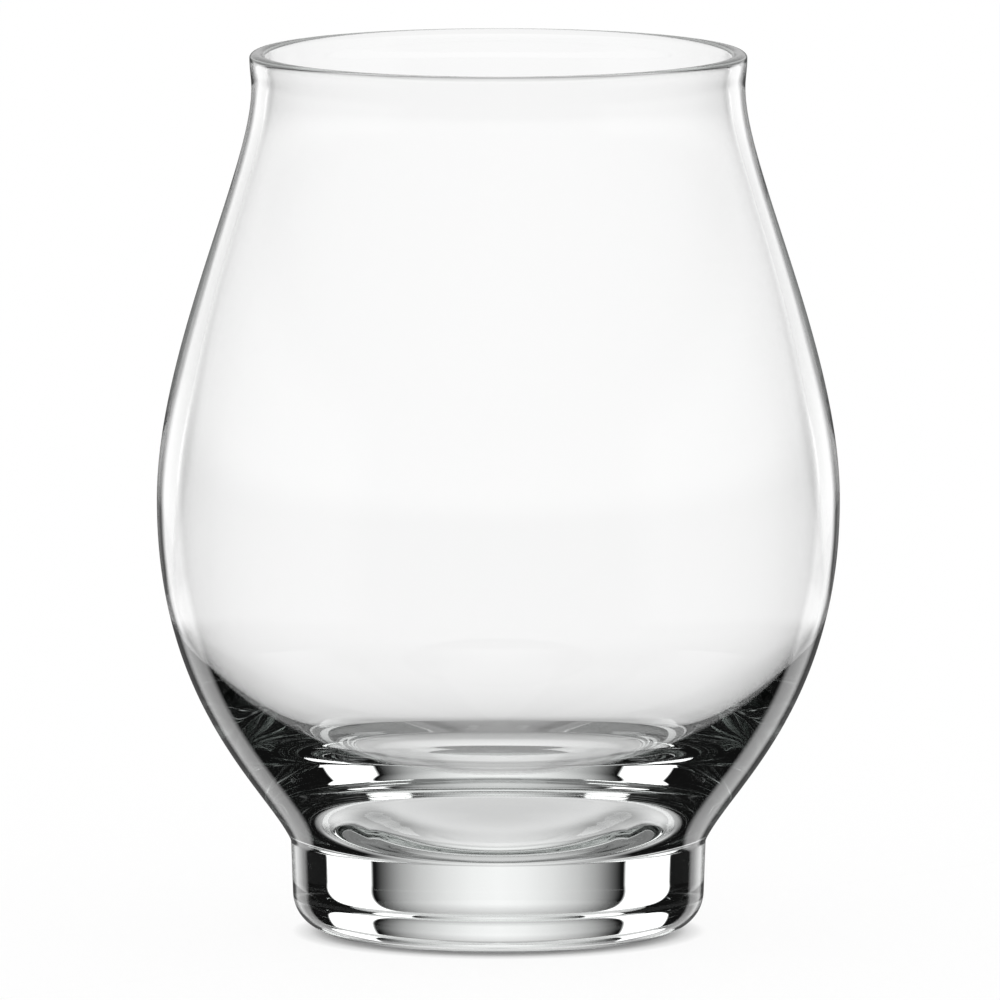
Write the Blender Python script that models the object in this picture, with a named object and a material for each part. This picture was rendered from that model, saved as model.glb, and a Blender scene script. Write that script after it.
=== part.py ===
# Glass tumbler: a round-bellied bowl with a narrower mouth, standing on a solid disc foot.
# Units are metres, +Z is up, and the table is at z = 0. Both pieces are turned about the Z axis.
import math

import bpy

MM = 0.001

# Foot: a solid glass disc with a round lower corner and a shallow hollow underneath
FOOT_HEIGHT = 12.1 * MM
FOOT_RADIUS = 27.15 * MM
FOOT_TAPER = 0.25 * MM
CORNER_WIDTH = 6.4 * MM
CORNER_HEIGHT = 6.8 * MM
RING_WIDTH = 4.0 * MM
HOLLOW_DEPTH = 0.8 * MM

# Bowl outside: heights are measured from the seam, where the bowl meets the foot
BOWL_HEIGHT = 102.9 * MM
BELLY_HEIGHT = 44.4 * MM
BELLY_RADIUS = 44.4 * MM
NECK_RADIUS = 32.05 * MM
NECK_BELOW_RIM = 4.7 * MM
RIM_RADIUS = 32.3 * MM
FLARE_ANGLE = math.radians(27.1)

# Bowl inside: an even wall that runs out into a solid corner above the seam
RIM_WALL = 2.0 * MM
RIM_ROUNDING = 0.7 * MM
NECK_WALL = 2.05 * MM
BELLY_WALL = 2.3 * MM
INNER_BELLY_HEIGHT = 35.9 * MM
FLOOR_THICKNESS = 1.65 * MM

# How far each curve keeps to its end direction before it bends away
FLARE_REACH = 7.7 * MM
BELLY_REACH_DOWN = 26.3 * MM
BELLY_REACH_UP = 19.6 * MM
NECK_REACH = 10.4 * MM
LIP_REACH = 1.5 * MM
INNER_REACH_DOWN = 21.0 * MM
INNER_REACH_UP = 30.0 * MM
FLOOR_REACH = 18.5 * MM

# Fineness of the turned surfaces
TURN_STEPS = 64
CORNER_STEPS = 8
HOLLOW_STEPS = 5
WALL_STEPS = 12
LIP_STEPS = 3
RIM_STEPS = 6
FLOOR_STEPS = 18
MERGE_DISTANCE = 0.001 * MM

# Clear colourless glass
GLASS_COLOUR = (0.98, 1.0, 0.99, 1.0)
GLASS_ROUGHNESS = 0.0
GLASS_IOR = 1.52


def clear_scene():
    for item in list(bpy.data.objects):
        bpy.data.objects.remove(item, do_unlink=True)


def curve(start, start_handle, end_handle, end, steps):
    """Points of a cubic curve from start to end, both ends included."""
    points = []
    for step in range(steps + 1):
        t = step / steps
        s = 1.0 - t
        weights = (s ** 3, 3.0 * s * s * t, 3.0 * s * t * t, t ** 3)
        corners = (start, start_handle, end_handle, end)
        radius = sum(weight * corner[0] for weight, corner in zip(weights, corners))
        height = sum(weight * corner[1] for weight, corner in zip(weights, corners))
        points.append((radius, height))
    return points


def ellipse_arc(centre, width, height, start_angle, end_angle, steps):
    """Points of an ellipse's arc, both ends included."""
    points = []
    for step in range(steps + 1):
        angle = start_angle + (end_angle - start_angle) * step / steps
        points.append((centre[0] + width * math.cos(angle), centre[1] + height * math.sin(angle)))
    return points


def joined(*stretches):
    """One outline from stretches that each start where the last one ended."""
    outline = list(stretches[0])
    for stretch in stretches[1:]:
        outline.extend(stretch[1:])
    return outline


def bowl_inside():
    """From the middle of the bowl's floor up to the inner edge of the rim."""
    floor = (0.0, FLOOR_THICKNESS)
    belly = (BELLY_RADIUS - BELLY_WALL, INNER_BELLY_HEIGHT)
    neck = (NECK_RADIUS - NECK_WALL, BOWL_HEIGHT - NECK_BELOW_RIM)
    lip = (RIM_RADIUS - RIM_WALL, BOWL_HEIGHT - RIM_ROUNDING)
    return joined(
        curve(floor, (FLOOR_REACH, floor[1]), (belly[0], belly[1] - INNER_REACH_DOWN), belly, FLOOR_STEPS),
        curve(belly, (belly[0], belly[1] + INNER_REACH_UP), (neck[0], neck[1] - NECK_REACH), neck, WALL_STEPS),
        curve(neck, (neck[0], neck[1] + LIP_REACH), (lip[0], lip[1] - LIP_REACH), lip, LIP_STEPS),
    )


def bowl_rim():
    """Rounded over the rim, from the inner edge to the outer one."""
    centre = (RIM_RADIUS - RIM_WALL / 2.0, BOWL_HEIGHT - RIM_ROUNDING)
    return ellipse_arc(centre, RIM_WALL / 2.0, RIM_ROUNDING, math.pi, 0.0, RIM_STEPS)


def bowl_outside():
    """From the outer edge of the rim down to the seam."""
    lip = (RIM_RADIUS, BOWL_HEIGHT - RIM_ROUNDING)
    neck = (NECK_RADIUS, BOWL_HEIGHT - NECK_BELOW_RIM)
    belly = (BELLY_RADIUS, BELLY_HEIGHT)
    seam = (FOOT_RADIUS, 0.0)
    flare = (seam[0] + FLARE_REACH * math.sin(FLARE_ANGLE), seam[1] + FLARE_REACH * math.cos(FLARE_ANGLE))
    return joined(
        curve(lip, (lip[0], lip[1] - LIP_REACH), (neck[0], neck[1] + LIP_REACH), neck, LIP_STEPS),
        curve(neck, (neck[0], neck[1] - NECK_REACH), (belly[0], belly[1] + BELLY_REACH_UP), belly, WALL_STEPS),
        curve(belly, (belly[0], belly[1] - BELLY_REACH_DOWN), flare, seam, WALL_STEPS),
    )


def bowl_outline():
    return joined(bowl_inside(), bowl_rim(), bowl_outside(), [(FOOT_RADIUS, 0.0), (0.0, 0.0)])


def foot_outline():
    """From the middle of the seam face, down the side, to the middle of the hollow underneath."""
    wall_radius = FOOT_RADIUS - FOOT_TAPER
    corner_centre = (wall_radius - CORNER_WIDTH, CORNER_HEIGHT)
    hollow_radius = corner_centre[0] - RING_WIDTH
    hollow_arc_radius = (hollow_radius ** 2 + HOLLOW_DEPTH ** 2) / (2.0 * HOLLOW_DEPTH)
    hollow_centre = (0.0, HOLLOW_DEPTH - hollow_arc_radius)
    hollow_angle = math.acos(hollow_radius / hollow_arc_radius)
    return joined(
        [(0.0, FOOT_HEIGHT), (FOOT_RADIUS, FOOT_HEIGHT)],
        [(FOOT_RADIUS, FOOT_HEIGHT), (wall_radius, CORNER_HEIGHT)],
        ellipse_arc(corner_centre, CORNER_WIDTH, CORNER_HEIGHT, 0.0, -math.pi / 2.0, CORNER_STEPS),
        [(corner_centre[0], 0.0), (hollow_radius, 0.0)],
        ellipse_arc(hollow_centre, hollow_arc_radius, hollow_arc_radius, hollow_angle, math.pi / 2.0, HOLLOW_STEPS),
    )


def glass_material(name):
    material = bpy.data.materials.new(name)
    material.use_nodes = True
    shader = material.node_tree.nodes["Principled BSDF"]
    shader.inputs["Base Color"].default_value = GLASS_COLOUR
    shader.inputs["Roughness"].default_value = GLASS_ROUGHNESS
    shader.inputs["Metallic"].default_value = 0.0
    shader.inputs["Transmission Weight"].default_value = 1.0
    shader.inputs["IOR"].default_value = GLASS_IOR
    return material


def turned_piece(name, outline, height, parent):
    """A solid of revolution from an outline of (radius, height) pairs."""
    mesh = bpy.data.meshes.new(name)
    vertices = [(max(radius, 0.0), 0.0, z) for radius, z in outline]
    edges = [(index, index + 1) for index in range(len(vertices) - 1)]
    mesh.from_pydata(vertices, edges, [])
    mesh.materials.append(glass_material(name + "_glass"))
    piece = bpy.data.objects.new(name, mesh)
    bpy.context.scene.collection.objects.link(piece)
    piece.parent = parent
    piece.location = (0.0, 0.0, height)
    turn = piece.modifiers.new("turn", "SCREW")
    turn.axis = "Z"
    turn.angle = 2.0 * math.pi
    turn.steps = TURN_STEPS
    turn.render_steps = TURN_STEPS
    turn.use_smooth_shade = True
    turn.use_merge_vertices = True
    turn.merge_threshold = MERGE_DISTANCE
    return piece


def build_tumbler():
    clear_scene()
    tumbler = bpy.data.objects.new("tumbler", None)
    bpy.context.scene.collection.objects.link(tumbler)
    turned_piece("foot", foot_outline(), 0.0, tumbler)
    turned_piece("bowl", bowl_outline(), FOOT_HEIGHT, tumbler)


build_tumbler()
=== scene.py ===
# The look of the glass tumbler: one smooth body of clear glass on a white studio floor.
import math

import bpy
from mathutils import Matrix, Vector


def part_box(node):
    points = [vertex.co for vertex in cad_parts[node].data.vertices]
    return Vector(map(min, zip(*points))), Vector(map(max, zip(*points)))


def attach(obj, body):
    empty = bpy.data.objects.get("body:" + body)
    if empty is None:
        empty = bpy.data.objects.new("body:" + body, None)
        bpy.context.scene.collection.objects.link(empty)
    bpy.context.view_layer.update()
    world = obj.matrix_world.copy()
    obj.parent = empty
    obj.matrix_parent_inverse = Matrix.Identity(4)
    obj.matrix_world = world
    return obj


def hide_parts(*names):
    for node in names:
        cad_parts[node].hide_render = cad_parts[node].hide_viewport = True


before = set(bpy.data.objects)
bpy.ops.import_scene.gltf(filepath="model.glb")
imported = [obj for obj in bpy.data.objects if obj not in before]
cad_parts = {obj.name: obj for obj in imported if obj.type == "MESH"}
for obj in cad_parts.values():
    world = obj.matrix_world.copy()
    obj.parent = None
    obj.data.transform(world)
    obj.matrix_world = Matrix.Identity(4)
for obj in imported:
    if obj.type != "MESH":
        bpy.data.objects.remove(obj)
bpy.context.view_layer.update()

MM = 0.001

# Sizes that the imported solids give
FOOT_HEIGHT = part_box("foot")[1].z
BELLY_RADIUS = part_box("bowl")[1].x
RIM_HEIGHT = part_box("bowl")[1].z

# Foot: nearly straight wall, round lower corner, narrow standing ring and shallow hollow
CREASE_RADIUS = 27.0 * MM
CREASE_SOFTNESS = 0.5 * MM
CORNER_RADIUS = 26.75 * MM
CORNER_HEIGHT = 5.2 * MM
CORNER_REACH_DOWN = 2.86 * MM
CORNER_REACH_IN = 4.6 * MM
RING_OUTER_RADIUS = 19.8 * MM
RING_INNER_RADIUS = 16.5 * MM
HOLLOW_DEPTH = 0.8 * MM

# Bowl: heights are measured from the table
BELLY_HEIGHT = 56.5 * MM
NECK_RADIUS = 32.05 * MM
NECK_HEIGHT = 110.3 * MM
RIM_RADIUS = 32.3 * MM
FLARE_ANGLE = math.radians(27.0)
RIM_WALL = 2.0 * MM
RIM_ROUNDING = 0.7 * MM
NECK_WALL = 2.05 * MM
BELLY_WALL = 2.3 * MM
INNER_BELLY_HEIGHT = 48.0 * MM
FLOOR_HEIGHT = 13.75 * MM

# How far each curve keeps to its end direction before it bends away
FLARE_REACH = 7.7 * MM
BELLY_REACH_DOWN = 26.3 * MM
BELLY_REACH_UP = 19.6 * MM
NECK_REACH = 10.4 * MM
LIP_REACH = 1.5 * MM
INNER_REACH_DOWN = 21.0 * MM
INNER_REACH_UP = 30.0 * MM
FLOOR_REACH = 18.5 * MM

# The crease between foot and bowl, and the direction in which the bowl leaves it
CREASE = (CREASE_RADIUS, FOOT_HEIGHT)
FLARE_SLOPE = (math.sin(FLARE_ANGLE), math.cos(FLARE_ANGLE))

# Fineness of the turned surface
TURN_STEPS = 192
WALL_STEPS = 72
CORNER_STEPS = 32
RIM_STEPS = 14
LIP_STEPS = 8
HOLLOW_STEPS = 16
RING_STEPS = 3
CREASE_STEPS = 8

# Clear glass
WHITE = (1.0, 1.0, 1.0, 1.0)
GLASS_IOR = 1.52
GLASS_TINT = (0.90, 1.0, 0.95, 1.0)
TINT_DENSITY = 3.0
WAVES_PER_METRE = 60.0
WAVE_DETAIL = 1.0
WAVE_HEIGHT = 1.0 * MM
WAVE_STRENGTH = 0.02

# Floor: glows white for the camera, with a painted shadow that darkens the glow close round the foot, and a
# small share of lit white that keeps the real shadow
FLOOR_HALF_WIDTH = 20.0
FLOOR_GLOW = 0.9
# The painted contact shadow: how far ambient occlusion looks, and the glow's strength by openness
CONTACT_REACH = 3.0 * MM
CONTACT_SAMPLES = 16
PAINTED_CONTACT_SHADOW = ((0.0, 0.2), (0.3, 0.72), (0.8, 1.0))
OPENNESS_RANGE = (0.0, 1.0)

# Studio: brightness by degrees round from straight behind the glass, and by degrees above level
HALF_TURN = 180.0
QUARTER_TURN = 90.0
ROUND_RANGE = (0.0, HALF_TURN)
HEIGHT_RANGE = (-QUARTER_TURN, QUARTER_TURN)
LIGHT_BOUNCES = 96
DARK = 0.006
# The bright panel behind, and a lamp on either side of it
BACK_PANEL = (
    (0.0, 1.0), (5.0, 0.95), (10.0, 0.82), (16.0, 0.60), (20.0, 0.40), (24.0, 0.14), (26.5, DARK),
)
PANEL_HEIGHTS = (
    (-90.0, 0.62), (-60.0, 0.62), (-45.0, 0.72), (-30.0, 0.76), (-20.0, 0.90), (-10.0, 1.0),
    (9.0, 1.0), (15.0, 0.85), (26.0, 0.70), (40.0, 0.70), (55.0, 0.60), (90.0, 0.50),
)
LAMP_BRIGHTNESS = 1.7
LAMP_SIDES = (28.0, 45.5)
LAMP_SIDE_SOFTNESS = 0.7
LAMP_HEIGHTS = (-20.0, 38.0)
LAMP_HEIGHT_SOFTNESS = 2.0
# Light mirrored more often than this finds neither panel nor lamps
LEVEL_MIRRORS = 6
# Light mirrored once finds the panel on all four sides only below this height
FRONT_PANEL_START = -30.0
# The ceiling far above, and the table far below, which is lighter behind the glass than aside
CEILING = 0.5
CEILING_START = 54.0
CEILING_SOFTNESS = 6.0
TABLE_BEHIND = ((-90.0, 0.66), (-60.0, 0.66), (-45.0, 0.78))
TABLE_ASIDE = ((-90.0, 0.38), (-60.0, 0.38), (-45.0, 0.45))
TABLE_ASIDE_START = 25.0
TABLE_START = -43.0
TABLE_SOFTNESS = 7.0
# The white floor, seen downwards through one wall
FLOOR_BEHIND = 0.93
FLOOR_BEHIND_START = -14.0
FLOOR_BEHIND_SOFTNESS = 4.0
# Light kept in the wall by many reflections before it leaves downwards, and light lost in the base
KEPT_MIRRORS = 12
LOST_MIRRORS = 32
KEPT = 0.38
KEPT_START = -11.0
KEPT_SOFTNESS = 3.0
# What the wall shows by one inner reflection
WALL_BAND = (
    (0.0, 0.9), (9.0, 0.5), (13.0, 0.1), (16.0, 0.1), (21.0, 1.0), (34.0, 1.0),
    (39.0, 0.8), (50.0, 0.8), (62.0, 0.5), (122.0, 0.5), (136.0, 0.08),
)
WALL_HEIGHTS = (-13.5, 11.0)
WALL_SOFTNESS = 3.5
# What shows through both sides of the bowl, which is four crossings of the surface or more
BOWL_CROSSINGS = 4
CLEAR_VIEW = ((0.0, 1.0), (8.0, 0.97), (15.0, 0.88), (18.0, 0.65), (25.0, 0.65), (28.0, 1.0))
CLEAR_HEIGHTS = (
    (-90.0, 1.0), (-76.0, 1.0), (-71.0, 0.30), (-64.0, 0.30), (-58.0, 0.38), (-40.0, 0.50),
    (-36.0, 0.70), (-30.0, 0.80), (-20.0, 0.92), (-10.0, 1.0),
)
CLEAR_BRIGHTNESS = 1.03
CLEAR_ASIDE = 0.9
CLEAR_ASIDE_START = 50.0
CLEAR_ASIDE_SOFTNESS = 5.0
# What shows in the bowl by reflections between its sides; a third wall counts as one more reflection
DEEP_CROSSINGS = 6
BOWL_MIRRORED = 0.8
BOWL_MIRRORS_AGAIN = 3
BOWL_MIRRORED_AGAIN = 0.22
BOWL_MIRRORS_LAST = 4
# What the outer surface mirrors: each lamp by degrees round, and the white above
MIRRORED = ((0.0, 0.09), (18.0, 0.09), (25.0, 1.0), (41.0, 1.0), (46.0, 0.0))
MIRROR_BRIGHTNESS = 1.35
MIRROR_NARROWING = 0.5
NARROWING_START = -15.0
MIRRORED_ABOVE = 0.85
MIRRORED_ABOVE_EDGE = (-3.0, 6.0)

# Camera: on the near side, looking down by a few degrees, far away with a long lens
CAMERA_ELEVATION = math.radians(6.866)
CAMERA_DISTANCE = 3.021
CAMERA_TARGET_HEIGHT = 56.51 * MM
PIXELS_PER_METRE = 7693.0
PICTURE_WIDTH = 1000.0
AXIS_PIXEL = 498.35
SENSOR_WIDTH = 36.0


def curve(start, start_handle, end_handle, end, steps):
    """Points of a cubic curve from start to end, both ends included."""
    points = []
    for step in range(steps + 1):
        t = step / steps
        s = 1.0 - t
        weights = (s ** 3, 3.0 * s * s * t, 3.0 * s * t * t, t ** 3)
        corners = (start, start_handle, end_handle, end)
        radius = sum(weight * corner[0] for weight, corner in zip(weights, corners))
        height = sum(weight * corner[1] for weight, corner in zip(weights, corners))
        points.append((radius, height))
    return points


def ellipse_arc(centre, width, height, start_angle, end_angle, steps):
    """Points of an ellipse's arc, both ends included."""
    points = []
    for step in range(steps + 1):
        angle = start_angle + (end_angle - start_angle) * step / steps
        points.append((centre[0] + width * math.cos(angle), centre[1] + height * math.sin(angle)))
    return points


def straight(start, end, steps):
    """Points of a straight line, both ends included."""
    return curve(start, start, end, end, steps)


def joined(*stretches):
    """One outline from stretches that each start where the last one ended."""
    outline = list(stretches[0])
    for stretch in stretches[1:]:
        outline.extend(stretch[1:])
    return outline


def along(point, direction, distance):
    """The place that lies so far from a point in a direction."""
    return (point[0] + direction[0] * distance, point[1] + direction[1] * distance)


def raised(point, rise):
    """The place straight above a point, or below it where the rise is negative."""
    return (point[0], point[1] + rise)


def flare_start():
    """Where the bowl's straight flare starts, just above the softened crease."""
    return along(CREASE, FLARE_SLOPE, CREASE_SOFTNESS)


def inside():
    """From the middle of the floor up to the inner edge of the rim."""
    floor = (0.0, FLOOR_HEIGHT)
    belly = (BELLY_RADIUS - BELLY_WALL, INNER_BELLY_HEIGHT)
    neck = (NECK_RADIUS - NECK_WALL, NECK_HEIGHT)
    lip = (RIM_RADIUS - RIM_WALL, RIM_HEIGHT - RIM_ROUNDING)
    return joined(
        curve(floor, (FLOOR_REACH, FLOOR_HEIGHT), raised(belly, -INNER_REACH_DOWN), belly, WALL_STEPS),
        curve(belly, raised(belly, INNER_REACH_UP), raised(neck, -NECK_REACH), neck, WALL_STEPS),
        curve(neck, raised(neck, LIP_REACH), raised(lip, -LIP_REACH), lip, LIP_STEPS),
    )


def rim():
    """Rounded over the rim, from the inner edge to the outer one."""
    centre = (RIM_RADIUS - RIM_WALL / 2.0, RIM_HEIGHT - RIM_ROUNDING)
    return ellipse_arc(centre, RIM_WALL / 2.0, RIM_ROUNDING, math.pi, 0.0, RIM_STEPS)


def outside():
    """From the outer edge of the rim down to just above the crease."""
    lip = (RIM_RADIUS, RIM_HEIGHT - RIM_ROUNDING)
    neck = (NECK_RADIUS, NECK_HEIGHT)
    belly = (BELLY_RADIUS, BELLY_HEIGHT)
    seam = flare_start()
    flare = along(seam, FLARE_SLOPE, FLARE_REACH)
    return joined(
        curve(lip, raised(lip, -LIP_REACH), raised(neck, LIP_REACH), neck, LIP_STEPS),
        curve(neck, raised(neck, -NECK_REACH), raised(belly, BELLY_REACH_UP), belly, WALL_STEPS),
        curve(belly, raised(belly, -BELLY_REACH_DOWN), flare, seam, WALL_STEPS),
    )


def foot():
    """From just above the crease, down the foot's side, to the middle of the hollow underneath."""
    corner = (CORNER_RADIUS, CORNER_HEIGHT)
    wall_length = math.dist(CREASE, corner)
    down = ((corner[0] - CREASE[0]) / wall_length, (corner[1] - CREASE[1]) / wall_length)
    below = along(CREASE, down, CREASE_SOFTNESS)
    corner_handle = along(corner, down, CORNER_REACH_DOWN)
    ring = (RING_OUTER_RADIUS, 0.0)
    ring_handle = (RING_OUTER_RADIUS + CORNER_REACH_IN, 0.0)
    hollow_radius = (RING_INNER_RADIUS ** 2 + HOLLOW_DEPTH ** 2) / (2.0 * HOLLOW_DEPTH)
    hollow_centre = (0.0, HOLLOW_DEPTH - hollow_radius)
    hollow_angle = math.acos(RING_INNER_RADIUS / hollow_radius)
    return joined(
        curve(flare_start(), CREASE, CREASE, below, CREASE_STEPS),
        straight(below, corner, RING_STEPS),
        curve(corner, corner_handle, ring_handle, ring, CORNER_STEPS),
        straight(ring, (RING_INNER_RADIUS, 0.0), RING_STEPS),
        ellipse_arc(hollow_centre, hollow_radius, hollow_radius, hollow_angle, math.pi / 2.0, HOLLOW_STEPS),
    )


def turned_mesh(name, outline):
    """A closed solid of revolution; the outline starts and ends on the axis and runs over the top."""
    rings = outline[1:-1]
    vertices = [(0.0, 0.0, outline[0][1])]
    for radius, height in rings:
        for step in range(TURN_STEPS):
            angle = 2.0 * math.pi * step / TURN_STEPS
            vertices.append((radius * math.cos(angle), radius * math.sin(angle), height))
    last = len(vertices)
    vertices.append((0.0, 0.0, outline[-1][1]))
    faces = []
    for step in range(TURN_STEPS):
        following = (step + 1) % TURN_STEPS
        faces.append((0, 1 + step, 1 + following))
        for ring in range(len(rings) - 1):
            low = 1 + ring * TURN_STEPS
            high = low + TURN_STEPS
            faces.append((low + step, high + step, high + following, low + following))
        bottom = 1 + (len(rings) - 1) * TURN_STEPS
        faces.append((bottom + step, last, bottom + following))
    mesh = bpy.data.meshes.new(name)
    mesh.from_pydata(vertices, [], faces)
    mesh.shade_smooth()
    return mesh


def glass_material():
    """Clear glass with a faint green body tint and the slight waviness of fire-polished glass."""
    material = bpy.data.materials.new("clear_glass")
    material.use_nodes = True
    tree = material.node_tree
    shader = tree.nodes["Principled BSDF"]
    shader.inputs["Base Color"].default_value = WHITE
    shader.inputs["Roughness"].default_value = 0.0
    shader.inputs["Transmission Weight"].default_value = 1.0
    shader.inputs["IOR"].default_value = GLASS_IOR
    wave = tree.nodes.new("ShaderNodeTexNoise")
    wave.inputs["Scale"].default_value = WAVES_PER_METRE
    wave.inputs["Detail"].default_value = WAVE_DETAIL
    bump = tree.nodes.new("ShaderNodeBump")
    bump.inputs["Strength"].default_value = WAVE_STRENGTH
    bump.inputs["Distance"].default_value = WAVE_HEIGHT
    place = tree.nodes.new("ShaderNodeTexCoord")
    tree.links.new(place.outputs["Object"], wave.inputs["Vector"])
    tree.links.new(wave.outputs["Fac"], bump.inputs["Height"])
    tree.links.new(bump.outputs["Normal"], shader.inputs["Normal"])
    tint = tree.nodes.new("ShaderNodeVolumeAbsorption")
    tint.inputs["Color"].default_value = GLASS_TINT
    tint.inputs["Density"].default_value = TINT_DENSITY
    tree.links.new(tint.outputs["Volume"], tree.nodes["Material Output"].inputs["Volume"])
    return material


def add_glass():
    """The whole tumbler as one closed piece, in place of both CAD nodes."""
    outline = joined(inside(), rim(), outside(), foot())
    glass = bpy.data.objects.new("tumbler_glass", turned_mesh("tumbler_glass", outline))
    bpy.context.scene.collection.objects.link(glass)
    glass.data.materials.append(glass_material())
    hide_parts("bowl", "foot")
    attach(glass, "root")


def connected(tree, sockets, values):
    """Sets each socket to its number, or links it to another node's result."""
    for socket, value in zip(sockets, values):
        if isinstance(value, (int, float)):
            socket.default_value = value
        else:
            tree.links.new(value, socket)


def calculated(tree, operation, *values):
    """A Math node's result from numbers and other nodes' results."""
    node = tree.nodes.new("ShaderNodeMath")
    node.operation = operation
    connected(tree, node.inputs, values)
    return node.outputs[0]


def blended(tree, share, first, second):
    """first where share is 0, second where it is 1."""
    node = tree.nodes.new("ShaderNodeMix")
    connected(tree, (node.inputs[0], node.inputs[2], node.inputs[3]), (share, first, second))
    return node.outputs[0]


def at_least(tree, count, least):
    """1 where a count of reflections or crossings has reached least, otherwise 0."""
    return calculated(tree, "GREATER_THAN", count, least - 0.5)


def stepped(tree, value, low, high):
    """0 below low, 1 above high, smooth between."""
    node = tree.nodes.new("ShaderNodeMapRange")
    node.interpolation_type = "SMOOTHSTEP"
    tree.links.new(value, node.inputs["Value"])
    node.inputs["From Min"].default_value = low
    node.inputs["From Max"].default_value = high
    return node.outputs["Result"]


def risen(tree, value, edge, softness):
    """0 below an edge, 1 above it, with a soft change round it."""
    return stepped(tree, value, edge - softness, edge + softness)


def windowed(tree, value, low, high, softness):
    """1 between low and high, 0 outside, with soft edges."""
    above_low = risen(tree, value, low, softness)
    above_high = risen(tree, value, high, softness)
    return calculated(tree, "SUBTRACT", above_low, above_high)


def ramped(tree, value, stops, low, high):
    """Brightness from a list of (place, brightness) stops between low and high."""
    node = tree.nodes.new("ShaderNodeValToRGB")
    elements = node.color_ramp.elements
    while len(elements) < len(stops):
        elements.new(0.5)
    for element, (place, brightness) in zip(elements, stops):
        element.position = (place - low) / (high - low)
        element.color = (brightness, brightness, brightness, 1.0)
    share = calculated(tree, "DIVIDE", calculated(tree, "SUBTRACT", value, low), high - low)
    tree.links.new(share, node.inputs["Fac"])
    return node.outputs["Color"]


def floor_material():
    """White that glows for the camera, with a painted shadow darkening the glow close round the object's
    foot.
    """
    material = bpy.data.materials.new("white_floor")
    material.use_nodes = True
    tree = material.node_tree
    tree.nodes.remove(tree.nodes["Principled BSDF"])
    lit = tree.nodes.new("ShaderNodeBsdfDiffuse")
    lit.inputs["Color"].default_value = WHITE
    # Painted shadow: the glow is dimmed where ambient occlusion finds the glass close by
    openness = tree.nodes.new("ShaderNodeAmbientOcclusion")
    openness.samples = CONTACT_SAMPLES
    openness.inputs["Distance"].default_value = CONTACT_REACH
    shade = ramped(tree, openness.outputs["AO"], PAINTED_CONTACT_SHADOW, *OPENNESS_RANGE)
    glow = tree.nodes.new("ShaderNodeEmission")
    tree.links.new(shade, glow.inputs["Strength"])
    path = tree.nodes.new("ShaderNodeLightPath")
    glow_share = calculated(tree, "MULTIPLY", path.outputs["Is Camera Ray"], FLOOR_GLOW)
    mix = tree.nodes.new("ShaderNodeMixShader")
    tree.links.new(glow_share, mix.inputs["Fac"])
    tree.links.new(lit.outputs["BSDF"], mix.inputs[1])
    tree.links.new(glow.outputs["Emission"], mix.inputs[2])
    tree.links.new(mix.outputs["Shader"], tree.nodes["Material Output"].inputs["Surface"])
    return material


def add_floor():
    """A plain white floor that the glass itself neither mirrors nor shows through."""
    mesh = bpy.data.meshes.new("floor")
    reach = FLOOR_HALF_WIDTH
    corners = [(-reach, -reach, 0.0), (reach, -reach, 0.0), (reach, reach, 0.0), (-reach, reach, 0.0)]
    mesh.from_pydata(corners, [], [(0, 1, 2, 3)])
    floor = bpy.data.objects.new("floor", mesh)
    bpy.context.scene.collection.objects.link(floor)
    mesh.materials.append(floor_material())
    floor.visible_glossy = False
    floor.visible_transmission = False


def panels_and_lamps(tree, panel_angle, lamp_angle, height_angle, mirrors, once):
    """The bright panel and its lamps; light mirrored once finds no lamp, and often mirrored, neither."""
    panel_round = ramped(tree, panel_angle, BACK_PANEL, *ROUND_RANGE)
    panel_height = ramped(tree, height_angle, PANEL_HEIGHTS, *HEIGHT_RANGE)
    panel = calculated(tree, "MULTIPLY", panel_round, panel_height)
    lamp_round = windowed(tree, lamp_angle, *LAMP_SIDES, LAMP_SIDE_SOFTNESS)
    lamp_height = windowed(tree, height_angle, *LAMP_HEIGHTS, LAMP_HEIGHT_SOFTNESS)
    lamp = calculated(tree, "MULTIPLY", lamp_round, lamp_height)
    lamp = blended(tree, once, calculated(tree, "MULTIPLY", lamp, LAMP_BRIGHTNESS), 0.0)
    often = at_least(tree, mirrors, LEVEL_MIRRORS + 1)
    bright = blended(tree, often, calculated(tree, "MAXIMUM", panel, lamp), 0.0)
    return calculated(tree, "MAXIMUM", bright, DARK)


def floor_and_ceiling(tree, panel_angle, height_angle, mirrors, level):
    """The level view, turned into the ceiling far above and into the table far below."""
    above = risen(tree, height_angle, CEILING_START, CEILING_SOFTNESS)
    table_aside = ramped(tree, height_angle, TABLE_ASIDE, *HEIGHT_RANGE)
    table_behind = ramped(tree, height_angle, TABLE_BEHIND, *HEIGHT_RANGE)
    behind = calculated(tree, "LESS_THAN", panel_angle, TABLE_ASIDE_START)
    table = blended(tree, behind, table_aside, table_behind)
    not_below = risen(tree, height_angle, TABLE_START, TABLE_SOFTNESS)
    lost = at_least(tree, mirrors, LOST_MIRRORS + 1)
    upper = blended(tree, lost, blended(tree, above, level, CEILING), DARK)
    return blended(tree, not_below, table, upper)


def kept_light(tree, height_angle, mirrors):
    """Light that went round inside the wall for long and leaves it downwards."""
    long_way = at_least(tree, mirrors, KEPT_MIRRORS)
    upwards = risen(tree, height_angle, KEPT_START, KEPT_SOFTNESS)
    return calculated(tree, "MULTIPLY", long_way, blended(tree, upwards, KEPT, 0.0))


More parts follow.
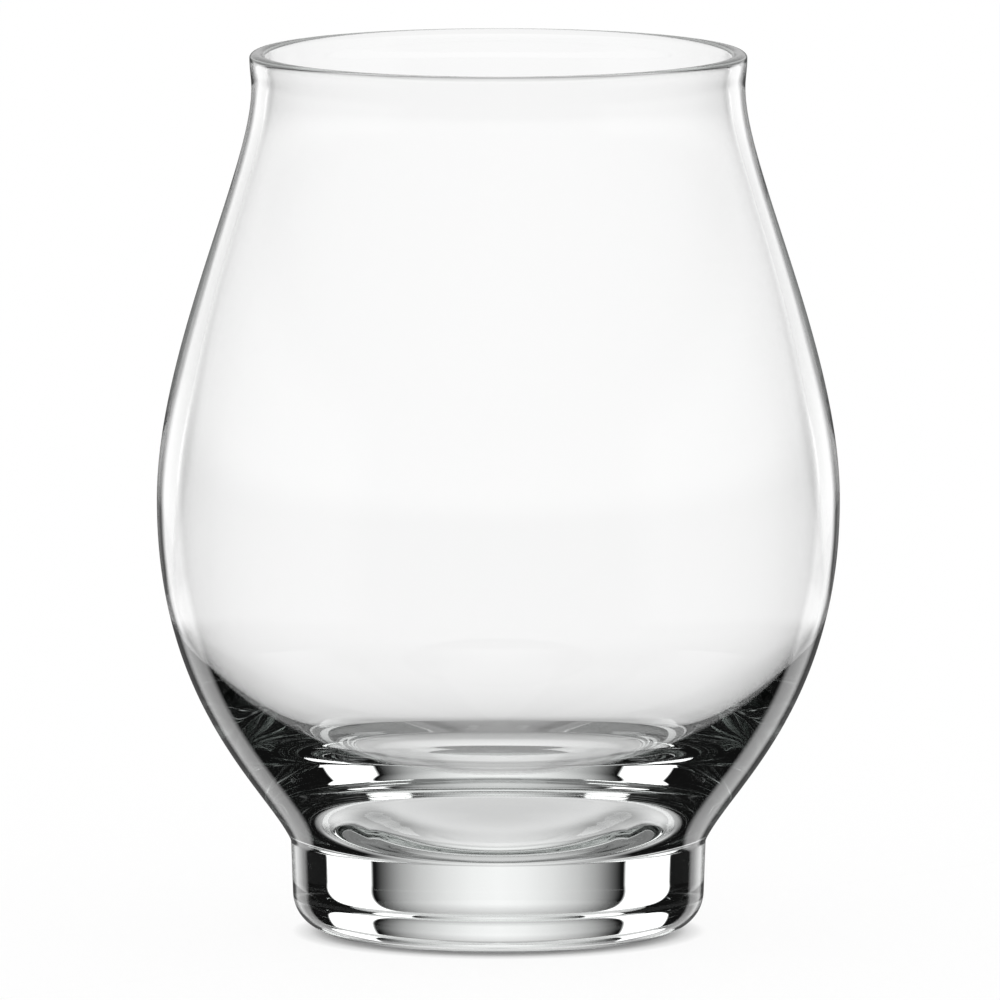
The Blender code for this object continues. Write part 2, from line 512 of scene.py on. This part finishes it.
def bowl_view(tree, round_angle, height_angle, mirrors, crossings, around):
    """What shows through both sides of the bowl, clear or by reflections between them."""
    clear_round = ramped(tree, round_angle, CLEAR_VIEW, *ROUND_RANGE)
    clear_height = ramped(tree, height_angle, CLEAR_HEIGHTS, *HEIGHT_RANGE)
    aside = risen(tree, round_angle, CLEAR_ASIDE_START, CLEAR_ASIDE_SOFTNESS)
    clear_height = blended(tree, aside, clear_height, calculated(tree, "MAXIMUM", clear_height, CLEAR_ASIDE))
    clear = calculated(tree, "MULTIPLY", clear_round, clear_height)
    clear = calculated(tree, "MULTIPLY", clear, CLEAR_BRIGHTNESS)
    turns = calculated(tree, "ADD", mirrors, at_least(tree, crossings, DEEP_CROSSINGS))
    mirrored = blended(tree, at_least(tree, mirrors, 1), clear, BOWL_MIRRORED)
    again = blended(tree, at_least(tree, turns, BOWL_MIRRORS_AGAIN), mirrored, BOWL_MIRRORED_AGAIN)
    return blended(tree, at_least(tree, mirrors, BOWL_MIRRORS_LAST + 1), again, around)


def mirrored_studio(tree, round_angle, height_angle):
    """What the outer surface mirrors: the lamps, which look narrower from below, and the white above."""
    steepness = calculated(tree, "MAXIMUM", calculated(tree, "SUBTRACT", NARROWING_START, height_angle), 0.0)
    narrowing = calculated(tree, "MULTIPLY", steepness, MIRROR_NARROWING)
    narrowed = calculated(tree, "ADD", round_angle, narrowing)
    lamps = calculated(tree, "MULTIPLY", ramped(tree, narrowed, MIRRORED, *ROUND_RANGE), MIRROR_BRIGHTNESS)
    return blended(tree, stepped(tree, height_angle, *MIRRORED_ABOVE_EDGE), lamps, MIRRORED_ABOVE)


def surroundings(tree, round_angle, height_angle, mirrors):
    """What shows through one wall or the base: panel, lamps, ceiling, table and white floor."""
    # For light not mirrored, or mirrored once and leaving steeply, a panel stands on all four sides
    # and lamps in front too
    steep = calculated(tree, "LESS_THAN", height_angle, FRONT_PANEL_START)
    behind_only = at_least(tree, calculated(tree, "SUBTRACT", mirrors, steep), 1)
    from_front = calculated(tree, "SUBTRACT", HALF_TURN, round_angle)
    nearest = calculated(tree, "MINIMUM", round_angle, from_front)
    from_side = calculated(tree, "SUBTRACT", QUARTER_TURN, nearest)
    panel_angle = blended(tree, behind_only, calculated(tree, "MINIMUM", nearest, from_side), round_angle)
    lamp_angle = blended(tree, behind_only, nearest, round_angle)

    mirrored = at_least(tree, mirrors, 1)
    once = calculated(tree, "SUBTRACT", mirrored, at_least(tree, mirrors, 2))
    level = panels_and_lamps(tree, panel_angle, lamp_angle, height_angle, mirrors, once)
    level = calculated(tree, "MAXIMUM", level, kept_light(tree, height_angle, mirrors))
    around = floor_and_ceiling(tree, panel_angle, height_angle, mirrors, level)
    wall = calculated(tree, "MULTIPLY", once, windowed(tree, height_angle, *WALL_HEIGHTS, WALL_SOFTNESS))
    around = blended(tree, wall, around, ramped(tree, round_angle, WALL_BAND, *ROUND_RANGE))
    shallow = risen(tree, height_angle, FLOOR_BEHIND_START, FLOOR_BEHIND_SOFTNESS)
    return blended(tree, calculated(tree, "MAXIMUM", mirrored, shallow), FLOOR_BEHIND, around)


def add_studio():
    """The studio's light as the world's brightness: plain white, except for light that met the glass."""
    world = bpy.data.worlds.new("studio")
    bpy.context.scene.world = world
    world.use_nodes = True
    tree = world.node_tree
    place = tree.nodes.new("ShaderNodeTexCoord")
    split = tree.nodes.new("ShaderNodeSeparateXYZ")
    tree.links.new(place.outputs["Generated"], split.inputs[0])
    across = calculated(tree, "ABSOLUTE", split.outputs["X"])
    round_angle = calculated(tree, "DEGREES", calculated(tree, "ARCTAN2", across, split.outputs["Y"]))
    height_angle = calculated(tree, "DEGREES", calculated(tree, "ARCSINE", split.outputs["Z"]))
    path = tree.nodes.new("ShaderNodeLightPath")
    mirrors = path.outputs["Glossy Depth"]
    crossings = path.outputs["Transmission Depth"]

    around = surroundings(tree, round_angle, height_angle, mirrors)
    bowl = bowl_view(tree, round_angle, height_angle, mirrors, crossings, around)
    through = blended(tree, at_least(tree, crossings, BOWL_CROSSINGS), around, bowl)
    mirror = mirrored_studio(tree, round_angle, height_angle)
    seen = blended(tree, at_least(tree, crossings, 1), mirror, through)
    met_glass = at_least(tree, calculated(tree, "ADD", crossings, mirrors), 1)
    scattered = at_least(tree, path.outputs["Diffuse Depth"], 1)
    brightness = blended(tree, scattered, blended(tree, met_glass, 1.0, seen), 1.0)
    background = tree.nodes["Background"]
    background.inputs["Color"].default_value = WHITE
    tree.links.new(brightness, background.inputs["Strength"])


def add_camera():
    """The photograph's view of the glass."""
    lens = bpy.data.cameras.new("camera")
    camera = bpy.data.objects.new("camera", lens)
    scene = bpy.context.scene
    scene.collection.objects.link(camera)
    back = Vector((0.0, -math.cos(CAMERA_ELEVATION), math.sin(CAMERA_ELEVATION)))
    camera.location = Vector((0.0, 0.0, CAMERA_TARGET_HEIGHT)) + back * CAMERA_DISTANCE
    camera.rotation_euler = (-back).to_track_quat("-Z", "Y").to_euler()
    lens.sensor_width = SENSOR_WIDTH
    lens.lens = SENSOR_WIDTH * CAMERA_DISTANCE * PIXELS_PER_METRE / PICTURE_WIDTH
    lens.shift_x = (PICTURE_WIDTH / 2.0 - AXIS_PIXEL) / PICTURE_WIDTH
    scene.camera = camera


def set_rendering():
    """Plain colours, and enough bounces for the light that goes round inside the glass."""
    scene = bpy.context.scene
    scene.view_settings.view_transform = "Standard"
    scene.cycles.max_bounces = LIGHT_BOUNCES
    scene.cycles.transmission_bounces = LIGHT_BOUNCES
    scene.cycles.glossy_bounces = LIGHT_BOUNCES


add_glass()
add_floor()
add_studio()
add_camera()
set_rendering()
